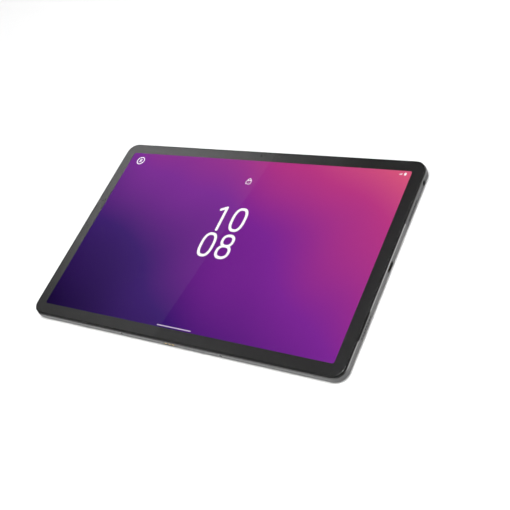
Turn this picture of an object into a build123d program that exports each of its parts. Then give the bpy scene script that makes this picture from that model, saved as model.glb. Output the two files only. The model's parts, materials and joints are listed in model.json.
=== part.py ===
"""Tablet computer with an 11.5 inch screen, as an assembly of separate pieces.

Millimetres. Facing the screen in landscape, +X is right, +Y is towards the long edge that holds
the front camera, and +Z comes out of the screen. The origin is under the middle of the body, on
the plane that the rear lens ring touches when the tablet lies on its back. Left and right in the
names are as seen facing the screen.
"""

import os

from build123d import *

os.makedirs("parts", exist_ok=True)

# ---------------------------------------------------------------- driving dimensions
body_length = 269.1
body_width = 169.4
body_thickness = 7.4  # back face to glass, without the camera
corner_radius = 9.2
screen_length = 250.5  # lit area, 5:3
screen_width = 150.3

plate_proud = 0.6  # camera plate above the back face
ring_proud = 0.6  # lens ring above the camera plate

back_wall = 0.7
side_wall = 1.25
rim_wall = 0.6  # the housing's thin upper rim
rim_height = 5.6  # back face to the top of the metal rim
rim_step = 5.1  # back face to the ledge under the rim
back_edge_radius = 1.2
rim_chamfer = 0.5
seam_y = 32.7  # where the two rear shells meet
seam_gap = 0.06

glass_thickness = 0.6
glass_edge_radius = 0.45
gap = 0.05  # between pieces that are assembled face to face
overcut = 1.0  # how far a cut runs past the wall that it opens

port_drop = 4.35  # glass to the middle of the ports and keys

# ---------------------------------------------------------------- levels and half sizes
back_z = plate_proud + ring_proud
inner_z = back_z + back_wall
glass_top = back_z + body_thickness
glass_z = glass_top - glass_thickness
port_z = glass_top - port_drop
rim_z = back_z + rim_height
step_z = back_z + rim_step

half_length = body_length / 2
half_width = body_width / 2
wall_x = half_length - side_wall  # inner faces of the side walls
wall_y = half_width - side_wall

mask_thickness = 0.06
bond_thickness = 0.1
mask_z = glass_z - mask_thickness
bond_z = mask_z - bond_thickness
panel_thickness = 0.7
panel_z = bond_z - panel_thickness
backlight_thickness = 0.84
backlight_z = panel_z - backlight_thickness
chassis_thickness = 0.4
chassis_top = backlight_z - 0.1
chassis_z = chassis_top - chassis_thickness

module_length = screen_length + 4.1  # display module outline
module_width = screen_width + 4.3


def keep(piece, label):
    """Labels a finished piece and writes its STEP file."""
    piece.part.label = label
    export_step(piece.part, f"parts/{label}.step")


def inset(margin):
    """Length, width and corner radius of the body's outline, moved in by margin."""
    return body_length - 2 * margin, body_width - 2 * margin, corner_radius - margin


def slab(x_range, y_range, z_range, radius=0.0):
    """A flat block between the given limits, with rounded corners in plan if radius is set."""
    size = (x_range[1] - x_range[0], y_range[1] - y_range[0])
    with BuildPart() as block:
        with BuildSketch(Plane.XY.offset(z_range[0])):
            with Locations((sum(x_range) / 2, sum(y_range) / 2)):
                if radius:
                    RectangleRounded(*size, radius)
                else:
                    Rectangle(*size)
        extrude(amount=z_range[1] - z_range[0])
    return block


# ---------------------------------------------------------------- ports, keys and holes
grille_y = 45.6  # middle of each speaker grille
grille_count = 8
grille_pitch = 2.25
grille_hole = 0.7

usb_opening = (9.1, 3.36)
jack_y = 69.0
jack_mouth = 2.0
jack_bore = 1.8

power_x = -92.0
power_key = (15.0, 2.3)
volume_x = -62.0
volume_key = (22.0, 2.3)
key_play = 0.1
key_proud = 0.35
key_travel = 0.25

tray_x = 89.0
tray_door = (15.6, 2.4)

mic_sites = [-28.0, 32.0]
mic_hole = 0.45

pogo_opening = (10.6, 2.4)
pogo_pitch = 3.2
locator_x = 43.5
locator_seat = 1.9
locator_bore = 1.25

# ---------------------------------------------------------------- rear camera places
camera_plate_size = (35.1, 14.4)
camera_plate_radius = 5.0
camera_plate_at = (-106.75, 70.2)
lens_at = (-117.2, 70.6)
flash_at = (-105.0, 70.6)
ring_radius = 5.5
ring_neck = 4.5
lens_radius = 4.15
flash_ring_radius = 5.1
flash_lens_radius = 4.65

badge_size = (8.2, 28.5)
badge_radius = 0.6
badge_at = (half_length - 5.65, 50.3)
badge_depth = 0.3

front_camera_at = (0.0, 80.3)
light_sensor_at = (16.0, 80.3)

# ---------------------------------------------------------------- screw bosses and board posts
boss_x = half_length - 5.05
boss_y = half_width - 4.7
boss_sites = [
    *[(x, y) for x in (-boss_x, boss_x) for y in (-boss_y, -23.7, 23.7, boss_y)],
    *[(x, -boss_y) for x in (-88.0, 88.0)],
    *[(x, boss_y) for x in (-43.0, 72.5)],
]
boss_radius = 1.7
screw_hole = 0.65
screw_shank = 0.6
screw_head = 1.2
head_height = 0.35
board_z = inner_z + 0.7
board_thickness = 0.8
board_top = board_z + board_thickness
board_sites = [(-79.0, 42.5), (-79.0, 57.0), (20.0, 57.5), (96.0, 42.5), (66.0, 57.5)]
usb_board_sites = [(106.0, -14.5), (121.5, -14.5), (121.5, 14.5)]
post_radius = 1.6

# ---------------------------------------------------------------- rear shells
with BuildPart() as rear_tray:
    with BuildSketch(Plane.XY.offset(back_z)):
        RectangleRounded(*inset(0))
    extrude(amount=rim_height)
    fillet(rear_tray.edges().group_by(Axis.Z)[0], back_edge_radius)
    chamfer(rear_tray.edges().group_by(Axis.Z)[-1], rim_chamfer)
    with BuildSketch(Plane.XY.offset(inner_z)):
        RectangleRounded(*inset(side_wall))
    extrude(amount=rim_height, mode=Mode.SUBTRACT)
    with BuildSketch(Plane.XY.offset(step_z)):
        RectangleRounded(*inset(rim_wall))
    extrude(amount=rim_height, mode=Mode.SUBTRACT)
    # Speaker grilles, the same in both short sides.
    with BuildSketch(Plane.YZ):
        for side_y in (-grille_y, grille_y):
            with Locations((side_y, port_z)):
                with GridLocations(grille_pitch, 1, grille_count, 1):
                    Circle(grille_hole)
    extrude(amount=half_length, both=True, mode=Mode.SUBTRACT)
    # Right side: USB-C and headset openings.
    with BuildSketch(Plane.YZ.offset(wall_x - overcut)):
        with Locations((0, port_z)):
            SlotOverall(*usb_opening)
        with Locations((jack_y, port_z)):
            Circle(jack_mouth)
    extrude(amount=side_wall + 2 * overcut, mode=Mode.SUBTRACT)
    # Far long side: keys, card tray and microphones.
    with BuildSketch(Plane.XZ.offset(-half_width - overcut)):
        with Locations((power_x, port_z)):
            SlotOverall(power_key[0] + 2 * key_play, power_key[1] + 2 * key_play)
        with Locations((volume_x, port_z)):
            SlotOverall(volume_key[0] + 2 * key_play, volume_key[1] + 2 * key_play)
        with Locations((tray_x, port_z)):
            SlotOverall(tray_door[0] + 2 * key_play, tray_door[1] + 2 * key_play)
        with Locations(*[(x, port_z) for x in mic_sites]):
            Circle(mic_hole)
    extrude(amount=side_wall + 2 * overcut, mode=Mode.SUBTRACT)
    # Near long side: keyboard contacts and the two locator seats.
    with BuildSketch(Plane.XZ.offset(wall_y - overcut)):
        with Locations((0, port_z)):
            SlotOverall(*pogo_opening)
        with Locations((-locator_x, port_z), (locator_x, port_z)):
            Circle(locator_seat)
    extrude(amount=side_wall + 2 * overcut, mode=Mode.SUBTRACT)
    # Back: camera plate opening and the badge recess.
    with BuildSketch(Plane.XY.offset(back_z - overcut)):
        with Locations(camera_plate_at):
            RectangleRounded(
                camera_plate_size[0] + 2 * gap,
                camera_plate_size[1] + 2 * gap,
                camera_plate_radius + gap,
            )
    extrude(amount=back_wall + 2 * overcut, mode=Mode.SUBTRACT)
    with BuildSketch(Plane.XY.offset(back_z)):
        with Locations(badge_at):
            RectangleRounded(badge_size[0] + 2 * gap, badge_size[1] + 2 * gap, badge_radius + gap)
    extrude(amount=badge_depth, mode=Mode.SUBTRACT)
    # Screw bosses for the support plate, and lower posts for the two boards.
    with BuildSketch(Plane.XY.offset(inner_z)):
        with Locations(*boss_sites):
            Circle(boss_radius)
            Circle(screw_hole, mode=Mode.SUBTRACT)
    extrude(amount=chassis_z - gap - inner_z)
    with BuildSketch(Plane.XY.offset(inner_z)):
        with Locations(*board_sites, *usb_board_sites):
            Circle(post_radius)
            Circle(screw_hole, mode=Mode.SUBTRACT)
    extrude(amount=board_z - inner_z)

near_end = -half_width - overcut
far_end = half_width + overcut
near_limit = seam_y - seam_gap / 2
far_limit = seam_y + seam_gap / 2

with BuildPart() as rear_housing:
    add(rear_tray.part)
    with BuildSketch(Plane.XY):
        with Locations((0, (near_end + near_limit) / 2)):
            Rectangle(body_length + 2 * overcut, near_limit - near_end)
    extrude(amount=glass_top, mode=Mode.INTERSECT)
keep(rear_housing, "rear_housing")

tongue_length = 230.0
tongue_reach = 5.2  # past the seam, over the housing's floor
tongue_thickness = 0.48
tongue_root = 1.4

with BuildPart() as antenna_cover:
    add(rear_tray.part)
    with BuildSketch(Plane.XY):
        with Locations((0, (far_end + far_limit) / 2)):
            Rectangle(body_length + 2 * overcut, far_end - far_limit)
    extrude(amount=glass_top, mode=Mode.INTERSECT)
    # The root stands on this shell's floor, and the tongue laps over the other's.
    with BuildSketch(Plane.XY.offset(inner_z)):
        with Locations((0, far_limit + tongue_root / 2)):
            Rectangle(tongue_length, tongue_root)
    extrude(amount=tongue_thickness + gap)
    with BuildSketch(Plane.XY.offset(inner_z + gap)):
        with Locations((0, far_limit + (tongue_root - tongue_reach) / 2)):
            Rectangle(tongue_length, tongue_root + tongue_reach)
    extrude(amount=tongue_thickness)
keep(antenna_cover, "antenna_cover")

with BuildPart() as badge_plate:
    with BuildSketch(Plane.XY.offset(back_z)):
        with Locations(badge_at):
            RectangleRounded(*badge_size, badge_radius)
    extrude(amount=badge_depth - gap / 2)
keep(badge_plate, "badge_plate")

# ---------------------------------------------------------------- rear camera and flash
ring_seat = 0.25  # how deep the rings are let into the plate
plate_flange = 0.9
flange_thickness = 0.3
plate_edge_radius = 0.3
flash_ledge = 0.6

with BuildPart() as camera_plate:
    with BuildSketch(Plane.XY.offset(ring_proud)):
        with Locations(camera_plate_at):
            RectangleRounded(*camera_plate_size, camera_plate_radius)
    extrude(amount=plate_proud + back_wall + gap)
    fillet(camera_plate.edges().group_by(Axis.Z)[0], plate_edge_radius)
    with BuildSketch(Plane.XY.offset(inner_z + gap)):
        with Locations(camera_plate_at):
            RectangleRounded(
                camera_plate_size[0] + 2 * plate_flange,
                camera_plate_size[1] + 2 * plate_flange,
                camera_plate_radius + plate_flange,
            )
    extrude(amount=flange_thickness)
    with BuildSketch(Plane.XY):
        with Locations(lens_at):
            Circle(ring_neck + gap)
        with Locations(flash_at):
            Circle(flash_lens_radius - flash_ledge)
    extrude(amount=inner_z + 2 * overcut, mode=Mode.SUBTRACT)
    with BuildSketch(Plane.XY):
        with Locations(lens_at):
            Circle(ring_radius + gap)
    extrude(amount=ring_proud + ring_seat, mode=Mode.SUBTRACT)
    with BuildSketch(Plane.XY):
        with Locations(flash_at):
            Circle(flash_ring_radius + gap)
    extrude(amount=ring_proud + ring_seat, mode=Mode.SUBTRACT)
keep(camera_plate, "camera_plate")

lens_recess = 0.15
lens_thickness = 0.55
ledge_radius = 3.6
ring_foot = inner_z + gap
ring_edge_radius = 0.2
lens_edge_radius = 0.1

with BuildPart() as lens_ring:
    with BuildSketch():
        with Locations(lens_at):
            Circle(ring_radius)
    extrude(amount=ring_proud + ring_seat - gap / 2)
    fillet(lens_ring.edges().group_by(Axis.Z)[0], ring_edge_radius)
    with BuildSketch():
        with Locations(lens_at):
            Circle(ring_neck)
    extrude(amount=ring_foot)
    with BuildSketch():
        with Locations(lens_at):
            Circle(lens_radius + gap)
    extrude(amount=lens_recess + lens_thickness + gap, mode=Mode.SUBTRACT)
    with BuildSketch():
        with Locations(lens_at):
            Circle(ledge_radius)
    extrude(amount=ring_foot, mode=Mode.SUBTRACT)
keep(lens_ring, "lens_ring")

with BuildPart() as lens_glass:
    with BuildSketch(Plane.XY.offset(lens_recess)):
        with Locations(lens_at):
            Circle(lens_radius)
    extrude(amount=lens_thickness)
    fillet(lens_glass.edges().group_by(Axis.Z)[0], lens_edge_radius)
keep(lens_glass, "lens_glass")

flash_proud = 0.12
flash_spigot_step = 0.7  # the lens narrows by this where it drops through the plate
flash_spigot = 0.4

with BuildPart() as flash_ring:
    with BuildSketch(Plane.XY.offset(ring_proud - flash_proud)):
        with Locations(flash_at):
            Circle(flash_ring_radius)
            Circle(flash_lens_radius + gap / 2, mode=Mode.SUBTRACT)
    extrude(amount=ring_seat + flash_proud - gap / 2)
keep(flash_ring, "flash_ring")

with BuildPart() as flash_lens:
    with BuildSketch(Plane.XY.offset(ring_proud - flash_proud / 2)):
        with Locations(flash_at):
            Circle(flash_lens_radius)
    extrude(amount=ring_seat + flash_proud / 2 - gap / 2)
    with BuildSketch(Plane.XY.offset(ring_proud + ring_seat - gap / 2)):
        with Locations(flash_at):
            Circle(flash_lens_radius - flash_spigot_step)
    extrude(amount=flash_spigot)
keep(flash_lens, "flash_lens")

camera_body = 9.4
camera_height = 3.2
camera_barrel = 3.35
camera_barrel_wall = 0.35
camera_corner = 0.6
camera_cone = (0.9, 30)  # depth, and degrees from the lens axis
lens_air = 0.3  # between the lens cover and the barrel
barrel_z = lens_recess + lens_thickness + lens_air
module_z = inner_z + flange_thickness + 2 * gap  # the modules stand on the plate's flange

with BuildPart() as rear_camera:
    with BuildSketch(Plane.XY.offset(barrel_z)):
        with Locations(lens_at):
            Circle(camera_barrel)
    extrude(amount=ring_foot + flange_thickness)
    with BuildSketch(Plane.XY.offset(module_z)):
        with Locations(lens_at):
            RectangleRounded(camera_body, camera_body, camera_corner)
    extrude(amount=camera_height)
    # A stepped cone inside the barrel narrows to the lens group.
    with BuildSketch(Plane.XY.offset(barrel_z)):
        with Locations(lens_at):
            Circle(camera_barrel - camera_barrel_wall)
    extrude(amount=camera_cone[0], taper=camera_cone[1], mode=Mode.SUBTRACT)
keep(rear_camera, "rear_camera")

led_size = 2.6
led_corner = 0.3
led_height = 1.0
led_drop = 0.5  # from the back of the rings' seat to the lamp
led_board = 7.6
led_board_thickness = 0.5

with BuildPart() as flash_led:
    with BuildSketch(Plane.XY.offset(ring_proud + ring_seat + led_drop)):
        with Locations(flash_at):
            RectangleRounded(led_size, led_size, led_corner)
    extrude(amount=led_height)
    with BuildSketch(Plane.XY.offset(module_z)):
        with Locations(flash_at):
            RectangleRounded(led_board, led_board, led_corner)
    extrude(amount=led_board_thickness)
keep(flash_led, "flash_led")

# ---------------------------------------------------------------- glass and display
glass_inset = 0.9
screen_corner = 1.6
camera_window = 1.3
sensor_window = 0.8
ink_gap = 0.02
ink_inset = 0.15  # from the glass's outline

with BuildPart() as cover_glass:
    with BuildSketch(Plane.XY.offset(glass_z)):
        RectangleRounded(*inset(glass_inset))
    extrude(amount=glass_thickness)
    fillet(cover_glass.edges().group_by(Axis.Z)[-1], glass_edge_radius)
keep(cover_glass, "cover_glass")

with BuildPart() as border_print:
    with BuildSketch(Plane.XY.offset(mask_z)):
        RectangleRounded(*inset(glass_inset + ink_inset))
        RectangleRounded(screen_length, screen_width, screen_corner, mode=Mode.SUBTRACT)
        with Locations(front_camera_at):
            Circle(camera_window, mode=Mode.SUBTRACT)
        with Locations(light_sensor_at):
            Circle(sensor_window, mode=Mode.SUBTRACT)
    extrude(amount=mask_thickness - ink_gap)
keep(border_print, "border_print")

display_panel = slab(
    (-module_length / 2, module_length / 2),
    (-module_width / 2, module_width / 2),
    (panel_z, bond_z),
)
keep(display_panel, "display_panel")

tray_wall = 0.8
tray_floor = 0.15
panel_overhang = 0.5
cable_overhang = 2.3  # of the panel past the backlight, for its cable
light_x = module_length / 2 - panel_overhang
light_near = -module_width / 2 + panel_overhang
light_far = module_width / 2 - cable_overhang
led_strip_drop = 0.2  # below the panel
led_strip_width = 1.6

with BuildPart() as backlight_tray:
    with BuildSketch(Plane.XY.offset(backlight_z)):
        with Locations((0, (light_near + light_far) / 2)):
            Rectangle(2 * light_x, light_far - light_near)
    extrude(amount=backlight_thickness - gap)
    with BuildSketch(Plane.XY.offset(backlight_z + tray_floor)):
        with Locations((0, (light_near + light_far) / 2)):
            Rectangle(2 * (light_x - tray_wall), light_far - light_near - 2 * tray_wall)
    extrude(amount=backlight_thickness, mode=Mode.SUBTRACT)
keep(backlight_tray, "backlight_tray")

guide_x = light_x - tray_wall - gap
guide_near = light_near + tray_wall + led_strip_width + 2 * gap
led_strip = slab(
    (-guide_x, guide_x),
    (light_near + tray_wall + gap, guide_near - gap),
    (backlight_z + tray_floor + gap, panel_z - led_strip_drop),
)
keep(led_strip, "led_strip")

light_guide = slab(
    (-guide_x, guide_x),
    (guide_near, light_far - tray_wall - gap),
    (backlight_z + tray_floor + gap, panel_z - 2 * gap),
)
keep(light_guide, "light_guide")

frame_margin = rim_wall + gap
frame_clearance = 0.4  # all across, around the display module
tape_thickness = 0.15
camera_pocket = 6.4
sensor_pocket = 3.0
frame_top = mask_z - tape_thickness
frame_z = step_z + gap
lip_drop = 0.3  # from the glass's face to the lip around its edge
lip_edge_radius = 0.08
tape_inset = 0.6  # from the glass's outline
tape_clearance = (2.4, 2.0)  # all across, around the display module

with BuildPart() as display_frame:
    with BuildSketch(Plane.XY.offset(frame_z)):
        RectangleRounded(*inset(frame_margin))
        Rectangle(
            module_length + frame_clearance,
            module_width + frame_clearance,
            mode=Mode.SUBTRACT,
        )
        with Locations(front_camera_at):
            Rectangle(camera_pocket, camera_pocket, mode=Mode.SUBTRACT)
        with Locations(light_sensor_at):
            Rectangle(sensor_pocket, sensor_pocket, mode=Mode.SUBTRACT)
    extrude(amount=frame_top - frame_z)
    with BuildSketch(Plane.XY.offset(frame_top)):
        RectangleRounded(*inset(frame_margin))
        RectangleRounded(*inset(glass_inset - gap), mode=Mode.SUBTRACT)
    extrude(amount=glass_top - lip_drop - frame_top)
    fillet(display_frame.edges().group_by(Axis.Z)[-1], lip_edge_radius)
    # Pockets over the heads of the support plate's screws.
    with BuildSketch(Plane.XY.offset(frame_z)):
        with Locations(*boss_sites):
            Circle(screw_head + 2 * gap)
    extrude(amount=chassis_top + head_height + 2 * gap - frame_z, mode=Mode.SUBTRACT)
keep(display_frame, "display_frame")

with BuildPart() as frame_adhesive:
    with BuildSketch(Plane.XY.offset(frame_top)):
        RectangleRounded(*inset(glass_inset + tape_inset))
        Rectangle(
            module_length + tape_clearance[0],
            module_width + tape_clearance[1],
            mode=Mode.SUBTRACT,
        )
        with Locations(front_camera_at):
            Rectangle(camera_pocket, camera_pocket, mode=Mode.SUBTRACT)
        with Locations(light_sensor_at):
            Rectangle(sensor_pocket, sensor_pocket, mode=Mode.SUBTRACT)
    extrude(amount=tape_thickness)
keep(frame_adhesive, "frame_adhesive")

# ---------------------------------------------------------------- front camera and light sensor
flex_rise = 2.0
flex_z = inner_z + flex_rise  # flat cables lie here, on the board's connectors
flex_thickness = 0.12
front_camera_body = 5.8
front_camera_corner = 0.4
front_camera_height = 2.7
front_barrel = 2.2
front_pupil = (0.7, 1.0, -15)  # radius, depth, and degrees of its flare
sensor_half = 1.2
sensor_height = 1.1
front_camera_z = flex_z + flex_thickness + gap

with BuildPart() as front_camera:
    with BuildSketch(Plane.XY.offset(front_camera_z)):
        with Locations(front_camera_at):
            RectangleRounded(front_camera_body, front_camera_body, front_camera_corner)
    extrude(amount=front_camera_height)
    with BuildSketch(Plane.XY.offset(front_camera_z)):
        with Locations(front_camera_at):
            Circle(front_barrel)
    extrude(amount=mask_z - gap - front_camera_z)
    with BuildSketch(Plane.XY.offset(mask_z - front_pupil[1])):
        with Locations(front_camera_at):
            Circle(front_pupil[0])
    extrude(amount=front_pupil[1], taper=front_pupil[2], mode=Mode.SUBTRACT)
keep(front_camera, "front_camera")

light_sensor = slab(
    (light_sensor_at[0] - sensor_half, light_sensor_at[0] + sensor_half),
    (light_sensor_at[1] - sensor_half, light_sensor_at[1] + sensor_half),
    (mask_z - sensor_height, mask_z - gap),
)
keep(light_sensor, "light_sensor")

# ---------------------------------------------------------------- support plate and its screws
plate_x = wall_x - 1.6
plate_y = wall_y - 1.5
plate_corner = 6.2
plate_margin = 1.0  # all across, around what stands in an opening of the plate
plate_notch = 6.0  # depth of the front camera's notch
cable_notch = 8.0
shank_play = 0.1
jack_length = 15.0
jack_width = 7.4
usb_shell_length = 7.6
display_flex_x = (-27.0, -9.0)

with BuildPart() as support_plate:
    with BuildSketch(Plane.XY.offset(chassis_z)):
        RectangleRounded(2 * plate_x, 2 * plate_y, plate_corner)
        with Locations(*boss_sites):
            Circle(screw_shank + shank_play, mode=Mode.SUBTRACT)
        with Locations((wall_x, jack_y)):
            Rectangle(2 * jack_length + plate_margin, jack_width + plate_margin, mode=Mode.SUBTRACT)
        with Locations((wall_x, 0)):
            Rectangle(2 * usb_shell_length, usb_opening[0] + plate_margin, mode=Mode.SUBTRACT)
        with Locations((front_camera_at[0], plate_y)):
            Rectangle(camera_pocket, 2 * plate_notch, mode=Mode.SUBTRACT)
        with Locations((sum(display_flex_x) / 2, plate_y)):
            Rectangle(
                display_flex_x[1] - display_flex_x[0] + plate_margin,
                2 * cable_notch,
                mode=Mode.SUBTRACT,
            )
    extrude(amount=chassis_thickness)
keep(support_plate, "support_plate")

driver_slot = (1.1, 0.32, 0.1)  # length, width and corner of the cross in a screw's head
driver_depth = 0.2
plate_screw_length = 2.6

with BuildPart() as plate_screws:
    with BuildSketch(Plane.XY.offset(chassis_top)):
        with Locations(*boss_sites):
            Circle(screw_head)
    extrude(amount=head_height)
    with BuildSketch(Plane.XY.offset(chassis_top + head_height)):
        with Locations(*boss_sites):
            RectangleRounded(*driver_slot)
            RectangleRounded(driver_slot[1], driver_slot[0], driver_slot[2])
    extrude(amount=-driver_depth, mode=Mode.SUBTRACT)
    with BuildSketch(Plane.XY.offset(chassis_top)):
        with Locations(*boss_sites):
            Circle(screw_shank)
    extrude(amount=-plate_screw_length)
keep(plate_screws, "plate_screws")

# ---------------------------------------------------------------- boards
board_x = (-84.0, 100.0)
board_y = (38.0, 61.0)
socket_x = (76.0, 100.0)  # the board's arm under the card socket
socket_far = 81.5
post_head = 1.15
post_thread = 0.6  # of a board screw, below the board


def board_blank(sketch_sites):
    """Cuts the screw holes of a board out of the sketch being made."""
    with Locations(*sketch_sites):
        Circle(screw_shank + shank_play, mode=Mode.SUBTRACT)


with BuildPart() as main_board:
    with BuildSketch(Plane.XY.offset(board_z)):
        with Locations((sum(board_x) / 2, sum(board_y) / 2)):
            Rectangle(board_x[1] - board_x[0], board_y[1] - board_y[0])
        with Locations((sum(socket_x) / 2, (board_y[0] + socket_far) / 2)):
            Rectangle(socket_x[1] - socket_x[0], socket_far - board_y[0])
        board_blank(board_sites)
    extrude(amount=board_thickness)
keep(main_board, "main_board")

usb_board_x = (102.0, 125.4)
usb_board_y = 18.0

with BuildPart() as usb_board:
    with BuildSketch(Plane.XY.offset(board_z)):
        with Locations((sum(usb_board_x) / 2, 0)):
            Rectangle(usb_board_x[1] - usb_board_x[0], 2 * usb_board_y)
        board_blank(usb_board_sites)
    extrude(amount=board_thickness)
keep(usb_board, "usb_board")

with BuildPart() as board_screws:
    with BuildSketch(Plane.XY.offset(board_top)):
        with Locations(*board_sites, *usb_board_sites):
            Circle(post_head)
    extrude(amount=head_height)
    with BuildSketch(Plane.XY.offset(board_top)):
        with Locations(*board_sites, *usb_board_sites):
            Circle(screw_shank)
    extrude(amount=-board_thickness - post_thread)
keep(board_screws, "board_screws")

# Chips: processor, memory, power controller and radio.
chip_gap = 0.02
chip_z = board_top + chip_gap
processor_at = (-40.0, 49.5)
memory_at = (-58.0, 49.5)
power_chip_at = (6.0, 49.5)
radio_at = (46.0, 49.5)
processor_size = (13.0, 13.0)
memory_size = (11.5, 13.0)
power_chip_size = (7.0, 7.0)
radio_size = (9.0, 8.0)
chip_thickness = 0.95
processor_can_x = (-67.5, -29.0)
radio_can_x = (38.0, 60.0)
can_y = (40.5, 58.5)
can_corner = 1.0
can_thickness = 0.2
can_height = 1.5

with BuildPart() as chips:
    with BuildSketch(Plane.XY.offset(chip_z)):
        with Locations(processor_at):
            Rectangle(*processor_size)
        with Locations(memory_at):
            Rectangle(*memory_size)
        with Locations(power_chip_at):
            Rectangle(*power_chip_size)
        with Locations(radio_at):
            Rectangle(*radio_size)
    extrude(amount=chip_thickness)
keep(chips, "chips")


def shield_can(x_range, y_range):
    """A pressed steel cover, open towards the board."""
    with BuildPart() as can:
        with BuildSketch(Plane.XY.offset(chip_z)):
            with Locations((sum(x_range) / 2, sum(y_range) / 2)):
                RectangleRounded(x_range[1] - x_range[0], y_range[1] - y_range[0], can_corner)
        extrude(amount=can_height)
        with BuildSketch(Plane.XY.offset(chip_z)):
            with Locations((sum(x_range) / 2, sum(y_range) / 2)):
                RectangleRounded(
                    x_range[1] - x_range[0] - 2 * can_thickness,
                    y_range[1] - y_range[0] - 2 * can_thickness,
                    can_corner - can_thickness,
                )
        extrude(amount=can_height - can_thickness, mode=Mode.SUBTRACT)
    return can


processor_can = shield_can(processor_can_x, can_y)
keep(processor_can, "processor_shield_can")
radio_can = shield_can(radio_can_x, can_y)
keep(radio_can, "radio_shield_can")

# ---------------------------------------------------------------- battery
cell_x = (2.5, 98.0)
cell_y = (-72.0, 21.5)
cell_z = (inner_z + 0.2, inner_z + 3.4)
cell_corner = 3.0
cell_edge_radius = 1.0
tape_width = 14.0
tape_margins = (26, 12)  # all across, within a cell's length and width


def pouch_cell(side):
    """One pouch cell, with its long edges rounded. Side is -1 for left and 1 for right."""
    with BuildPart() as cell:
        with BuildSketch(Plane.XY.offset(cell_z[0])):
            with Locations((side * sum(cell_x) / 2, sum(cell_y) / 2)):
                RectangleRounded(cell_x[1] - cell_x[0], cell_y[1] - cell_y[0], cell_corner)
        extrude(amount=cell_z[1] - cell_z[0])
        fillet(cell.faces().sort_by(Axis.Z)[-1].edges(), cell_edge_radius)
    return cell


keep(pouch_cell(-1), "battery_cell_left")
keep(pouch_cell(1), "battery_cell_right")

with BuildPart() as battery_tapes:
    with BuildSketch(Plane.XY.offset(inner_z)):
        for side in (-1, 1):
            with Locations((side * sum(cell_x) / 2, sum(cell_y) / 2)):
                with GridLocations(cell_x[1] - cell_x[0] - tape_margins[0], 1, 2, 1):
                    Rectangle(tape_width, cell_y[1] - cell_y[0] - tape_margins[1])
    extrude(amount=cell_z[0] - inner_z)
keep(battery_tapes, "battery_tapes")

battery_board_x = (-46.0, 46.0)
battery_board_y = (22.3, 26.6)
battery_board_corner = 0.8
battery_board = slab(
    battery_board_x,
    battery_board_y,
    (inner_z + gap, flex_z - gap),
    battery_board_corner,
)
keep(battery_board, "battery_board")

# ---------------------------------------------------------------- connectors and flat cables
connector_size = (11.0, 3.6)
connector_z = (chip_z, flex_z - gap)
battery_plug_at = (-16.0, 44.0)
display_plug_at = (-18.0, 57.5)
usb_plug_at = (90.0, 47.5)
usb_tail_at = (108.0, 12.5)
key_plug_at = (-73.0, 50.0)
camera_plug_at = (-82.0, 50.0)
front_plug_at = (0.0, 57.5)
flex_reach = 2.0  # past the middle of a plug
flex_end = 5.0  # short of the middle of a plug that it meets endways
battery_flex_width = 10.0
battery_flex_start = 0.5
drop_bend = 0.8
usb_flex_width = 6.0
usb_flex_bend = 4.0
camera_flex_width = 4.0
camera_flex_bend = 3.0
front_flex_width = 5.0
front_flex_corner = 0.5

with BuildPart() as board_connectors:
    with BuildSketch(Plane.XY.offset(connector_z[0])):
        with Locations(battery_plug_at, display_plug_at, front_plug_at, usb_plug_at, usb_tail_at):
            Rectangle(*connector_size)
        with Locations(key_plug_at, camera_plug_at):
            Rectangle(connector_size[1], connector_size[0])
    extrude(amount=connector_z[1] - connector_z[0])
keep(board_connectors, "board_connectors")

flex_level = (flex_z, flex_z + flex_thickness)
battery_flex = slab(
    (battery_plug_at[0] - battery_flex_width / 2, battery_plug_at[0] + battery_flex_width / 2),
    (battery_board_y[0] + battery_flex_start, battery_plug_at[1] + flex_reach),
    flex_level,
)
keep(battery_flex, "battery_flex")

# From under the panel's overhang, down through the support plate, to the main board.
drop_setback = 1.0
drop_y = light_far + drop_setback

with BuildPart() as display_flex:
    with BuildSketch(Plane.YZ.offset(display_flex_x[0])):
        with BuildLine() as flex_line:
            FilletPolyline(
                (drop_y, panel_z - gap),
                (drop_y, flex_z + flex_thickness / 2),
                (display_plug_at[1] - flex_reach, flex_z + flex_thickness / 2),
                radius=drop_bend,
            )
        trace(line_width=flex_thickness)
    extrude(amount=display_flex_x[1] - display_flex_x[0])
keep(display_flex, "display_flex")

with BuildPart() as usb_flex:
    with BuildSketch(Plane.XY.offset(flex_z)):
        with BuildLine() as usb_route:
            FilletPolyline(
                (usb_tail_at[0], usb_tail_at[1] - flex_reach),
                (usb_tail_at[0], usb_plug_at[1]),
                (usb_plug_at[0] - flex_end, usb_plug_at[1]),
                radius=usb_flex_bend,
            )
        trace(line_width=usb_flex_width)
    extrude(amount=flex_thickness)
keep(usb_flex, "usb_flex")

with BuildPart() as camera_flex:
    with BuildSketch(Plane.XY.offset(flex_z)):
        with BuildLine() as camera_route:
            FilletPolyline(
                (lens_at[0] + camera_body / 2 + gap, lens_at[1]),
                (camera_plug_at[0], lens_at[1]),
                (camera_plug_at[0], camera_plug_at[1] - flex_end),
                radius=camera_flex_bend,
            )
        trace(line_width=camera_flex_width)
    extrude(amount=flex_thickness)
keep(camera_flex, "camera_flex")

front_camera_flex = slab(
    (front_camera_at[0] - front_flex_width / 2, front_camera_at[0] + front_flex_width / 2),
    (front_plug_at[1] - flex_reach, front_camera_at[1] + front_flex_width / 2),
    flex_level,
    front_flex_corner,
)
keep(front_camera_flex, "front_camera_flex")

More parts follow.
